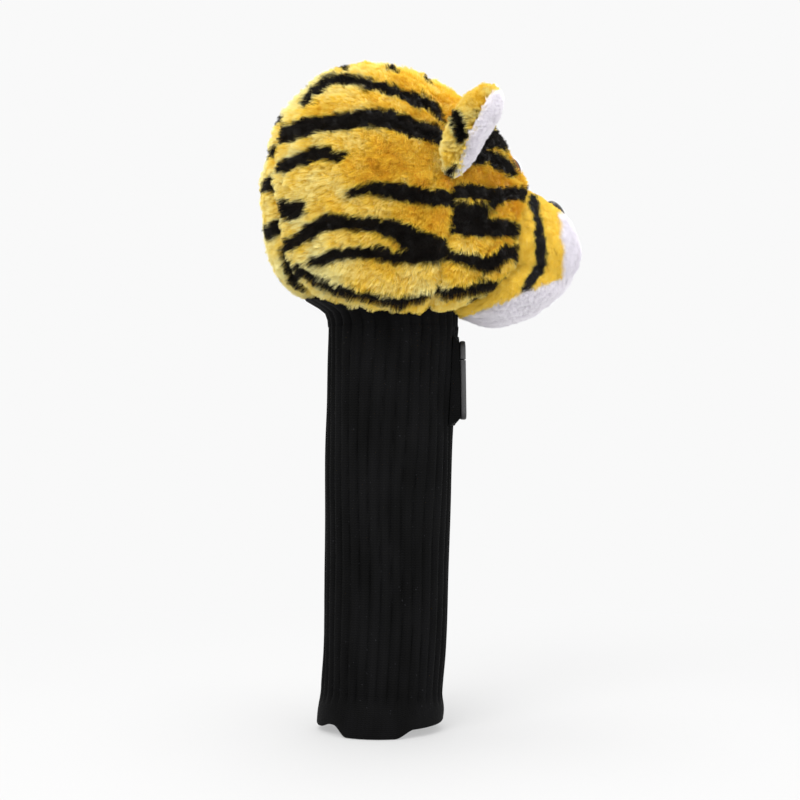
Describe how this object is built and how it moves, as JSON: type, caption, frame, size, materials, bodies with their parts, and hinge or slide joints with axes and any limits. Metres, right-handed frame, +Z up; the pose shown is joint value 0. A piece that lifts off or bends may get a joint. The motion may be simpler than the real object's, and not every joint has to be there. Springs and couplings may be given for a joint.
{
  "type": "driver head cover",
  "caption": "Plush tiger head cover for a golf driver: striped fur head with a padded pocket, two sewn ears, white muzzle and jaw, long black rib-knit sleeve with a plain hem.",
  "frame": {"origin": "under the middle of the overall box, level with the hem's lower edge", "axes": "+Z up the sleeve towards the crown, +X the way the tiger looks, +Y towards its left ear"},
  "size_m": [0.1898, 0.1924, 0.394],
  "materials": {
    "striped_fur": "deep pile, golden yellow with printed black tiger stripes",
    "white_plush": "short white pile",
    "black_knit": "black acrylic rib knit",
    "fibrefill": "loose polyester fibre",
    "lining_cloth": "brushed cloth",
    "elastic": "woven elastic",
    "grey_rubber": "matt, soft",
    "eye_plastic": "polished, dark amber with a black pupil",
    "nose_plastic": "satin black",
    "washer_plastic": "plain"
  },
  "bodies": {
    "head": {"right_side_panel": "striped_fur", "left_side_panel": "striped_fur", "nape_panel": "striped_fur", "right_face_panel": "striped_fur", "left_face_panel": "striped_fur", "snout_band": "striped_fur", "right_muzzle_pad": "white_plush", "left_muzzle_pad": "white_plush", "jaw_panel": "white_plush", "muzzle_stuffing": "fibrefill", "head_padding": "fibrefill", "pocket_lining": "lining_cloth", "nose": "nose_plastic", "nose_washer": "washer_plastic", "right_eye": "eye_plastic", "left_eye": "eye_plastic", "right_eye_washer": "washer_plastic", "left_eye_washer": "washer_plastic"},
    "right_ear": {"right_ear_back": "striped_fur", "right_ear_front": "white_plush"},
    "left_ear": {"left_ear_back": "striped_fur", "left_ear_front": "white_plush"},
    "sleeve": {"knit_sleeve": "black_knit", "neck_gather": "black_knit", "neck_elastic": "elastic", "tag_backing": "black_knit", "tag_top": "grey_rubber"},
    "hem": {"hem_band": "black_knit"},
    "tag": {"tag_flap": "grey_rubber"}
  },
  "joints": [
    {"name": "neck_nod", "type": "hinge", "parent": "head", "child": "sleeve", "pos_m": [-0.01862, 0, 0.24], "axis": [0, 1, 0], "range_deg": [-8, 25], "stiffness_Nm_per_rad": 0.3, "deforming": ["neck_gather"]},
    {"name": "sleeve_push_up", "type": "slide", "parent": "sleeve", "child": "hem", "axis": [0.0354, 0, 0.9994], "range_m": [0, 0.12], "stiffness_N_per_m": 30, "deforming": ["knit_sleeve"]},
    {"name": "right_ear_fold", "type": "hinge", "parent": "head", "child": "right_ear", "pos_m": [0.02888, -0.059, 0.341], "axis": [0.4384, 0, 0.8988], "range_deg": [-15, 30], "stiffness_Nm_per_rad": 0.05},
    {"name": "left_ear_fold", "type": "hinge", "parent": "head", "child": "left_ear", "pos_m": [0.02888, 0.059, 0.341], "axis": [-0.4384, 0, -0.8988], "range_deg": [-15, 30], "stiffness_Nm_per_rad": 0.05},
    {"name": "tag_lift", "type": "hinge", "parent": "sleeve", "child": "tag", "pos_m": [0.02678, 0, 0.217], "axis": [0, -1, 0], "range_deg": [0, 100], "stiffness_Nm_per_rad": 0.01}
  ]
}
